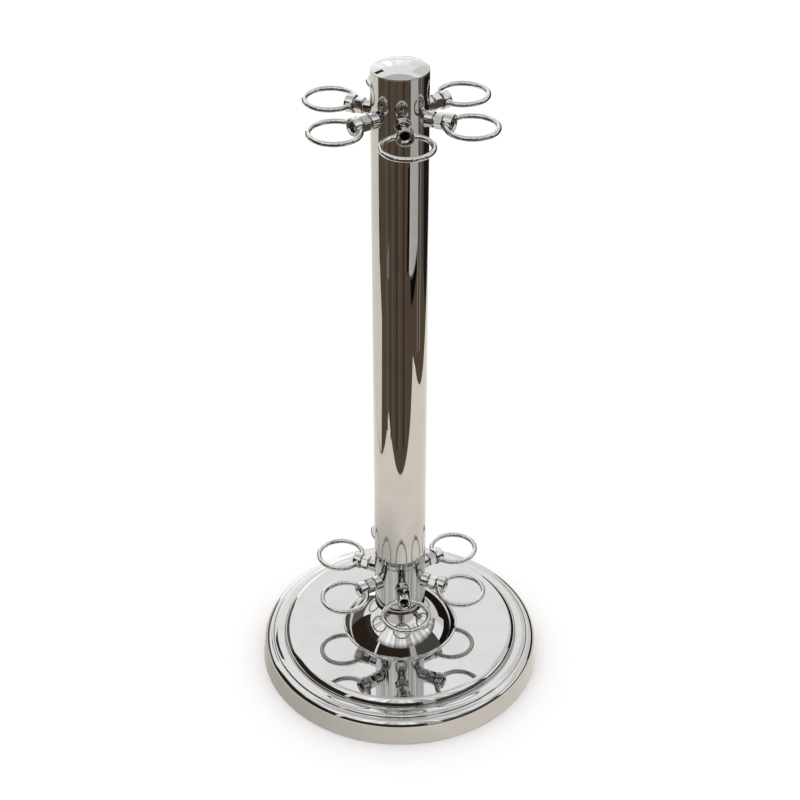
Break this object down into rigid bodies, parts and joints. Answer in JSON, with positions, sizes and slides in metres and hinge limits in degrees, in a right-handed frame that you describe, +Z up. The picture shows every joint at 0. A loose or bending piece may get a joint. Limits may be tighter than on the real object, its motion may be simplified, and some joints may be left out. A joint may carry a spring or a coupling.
{
  "type": "cue stand",
  "caption": "Free-standing chrome cue stand: heavy stepped round base, domed foot flange, tube column with domed cap, and two aligned tiers of horizontal wire rings on short screwed arms.",
  "frame": {"origin": "centre of the base's underside, on the floor", "axes": "+Z up the column; -Y towards the front arm of each tier; +X to the right seen from the front"},
  "size_m": [0.2818, 0.2818, 0.6515],
  "materials": {
    "chrome": "mirror polished",
    "plated_steel": "bright zinc plated",
    "black_steel": "black oxide, oiled",
    "cast_iron": "rough casting, painted",
    "rubber": "matt"
  },
  "bodies": {
    "stand": {"base_cover": "chrome", "foot_flange": "chrome", "column_tube": "chrome", "top_cap": "chrome", "base_weight": "cast_iron", "floor_pad": "rubber", "base_bolt": "plated_steel", "base_washer": "plated_steel", "column_foot_plug": "plated_steel", "upper_studs": "black_steel", "upper_spring_washers": "plated_steel", "upper_lock_nuts": "chrome", "lower_studs": "black_steel", "lower_spring_washers": "plated_steel", "lower_lock_nuts": "chrome", "upper_stem_front": "chrome", "upper_stem_front_right": "chrome", "upper_stem_back_right": "chrome", "upper_stem_back": "chrome", "upper_stem_back_left": "chrome", "upper_stem_front_left": "chrome", "lower_stem_front": "chrome", "lower_stem_front_right": "chrome", "lower_stem_back_right": "chrome", "lower_stem_back": "chrome", "lower_stem_back_left": "chrome", "lower_stem_front_left": "chrome"},
    "upper_front_holder": {"upper_boss_front": "chrome", "upper_ring_front": "chrome"},
    "upper_front_right_holder": {"upper_boss_front_right": "chrome", "upper_ring_front_right": "chrome"},
    "upper_back_right_holder": {"upper_boss_back_right": "chrome", "upper_ring_back_right": "chrome"},
    "upper_back_holder": {"upper_boss_back": "chrome", "upper_ring_back": "chrome"},
    "upper_back_left_holder": {"upper_boss_back_left": "chrome", "upper_ring_back_left": "chrome"},
    "upper_front_left_holder": {"upper_boss_front_left": "chrome", "upper_ring_front_left": "chrome"},
    "lower_front_holder": {"lower_boss_front": "chrome", "lower_ring_front": "chrome"},
    "lower_front_right_holder": {"lower_boss_front_right": "chrome", "lower_ring_front_right": "chrome"},
    "lower_back_right_holder": {"lower_boss_back_right": "chrome", "lower_ring_back_right": "chrome"},
    "lower_back_holder": {"lower_boss_back": "chrome", "lower_ring_back": "chrome"},
    "lower_back_left_holder": {"lower_boss_back_left": "chrome", "lower_ring_back_left": "chrome"},
    "lower_front_left_holder": {"lower_boss_front_left": "chrome", "lower_ring_front_left": "chrome"}
  },
  "joints": [
    {"name": "upper_front_ring_turn", "type": "hinge", "parent": "stand", "child": "upper_front_holder", "pos_m": [0, -0.0455, 0.606], "axis": [0, -1, 0], "range_deg": [-90, 90]},
    {"name": "upper_front_right_ring_turn", "type": "hinge", "parent": "stand", "child": "upper_front_right_holder", "pos_m": [0.0394, -0.02275, 0.606], "axis": [0.866, -0.5, 0], "range_deg": [-90, 90]},
    {"name": "upper_back_right_ring_turn", "type": "hinge", "parent": "stand", "child": "upper_back_right_holder", "pos_m": [0.0394, 0.02275, 0.606], "axis": [0.866, 0.5, 0], "range_deg": [-90, 90]},
    {"name": "upper_back_ring_turn", "type": "hinge", "parent": "stand", "child": "upper_back_holder", "pos_m": [0, 0.0455, 0.606], "axis": [0, 1, 0], "range_deg": [-90, 90]},
    {"name": "upper_back_left_ring_turn", "type": "hinge", "parent": "stand", "child": "upper_back_left_holder", "pos_m": [-0.0394, 0.02275, 0.606], "axis": [-0.866, 0.5, 0], "range_deg": [-90, 90]},
    {"name": "upper_front_left_ring_turn", "type": "hinge", "parent": "stand", "child": "upper_front_left_holder", "pos_m": [-0.0394, -0.02275, 0.606], "axis": [-0.866, -0.5, 0], "range_deg": [-90, 90]},
    {"name": "lower_front_ring_turn", "type": "hinge", "parent": "stand", "child": "lower_front_holder", "pos_m": [0, -0.0455, 0.101], "axis": [0, -1, 0], "range_deg": [-90, 90]},
    {"name": "lower_front_right_ring_turn", "type": "hinge", "parent": "stand", "child": "lower_front_right_holder", "pos_m": [0.0394, -0.02275, 0.101], "axis": [0.866, -0.5, 0], "range_deg": [-90, 90]},
    {"name": "lower_back_right_ring_turn", "type": "hinge", "parent": "stand", "child": "lower_back_right_holder", "pos_m": [0.0394, 0.02275, 0.101], "axis": [0.866, 0.5, 0], "range_deg": [-90, 90]},
    {"name": "lower_back_ring_turn", "type": "hinge", "parent": "stand", "child": "lower_back_holder", "pos_m": [0, 0.0455, 0.101], "axis": [0, 1, 0], "range_deg": [-90, 90]},
    {"name": "lower_back_left_ring_turn", "type": "hinge", "parent": "stand", "child": "lower_back_left_holder", "pos_m": [-0.0394, 0.02275, 0.101], "axis": [-0.866, 0.5, 0], "range_deg": [-90, 90]},
    {"name": "lower_front_left_ring_turn", "type": "hinge", "parent": "stand", "child": "lower_front_left_holder", "pos_m": [-0.0394, -0.02275, 0.101], "axis": [-0.866, -0.5, 0], "range_deg": [-90, 90]}
  ]
}
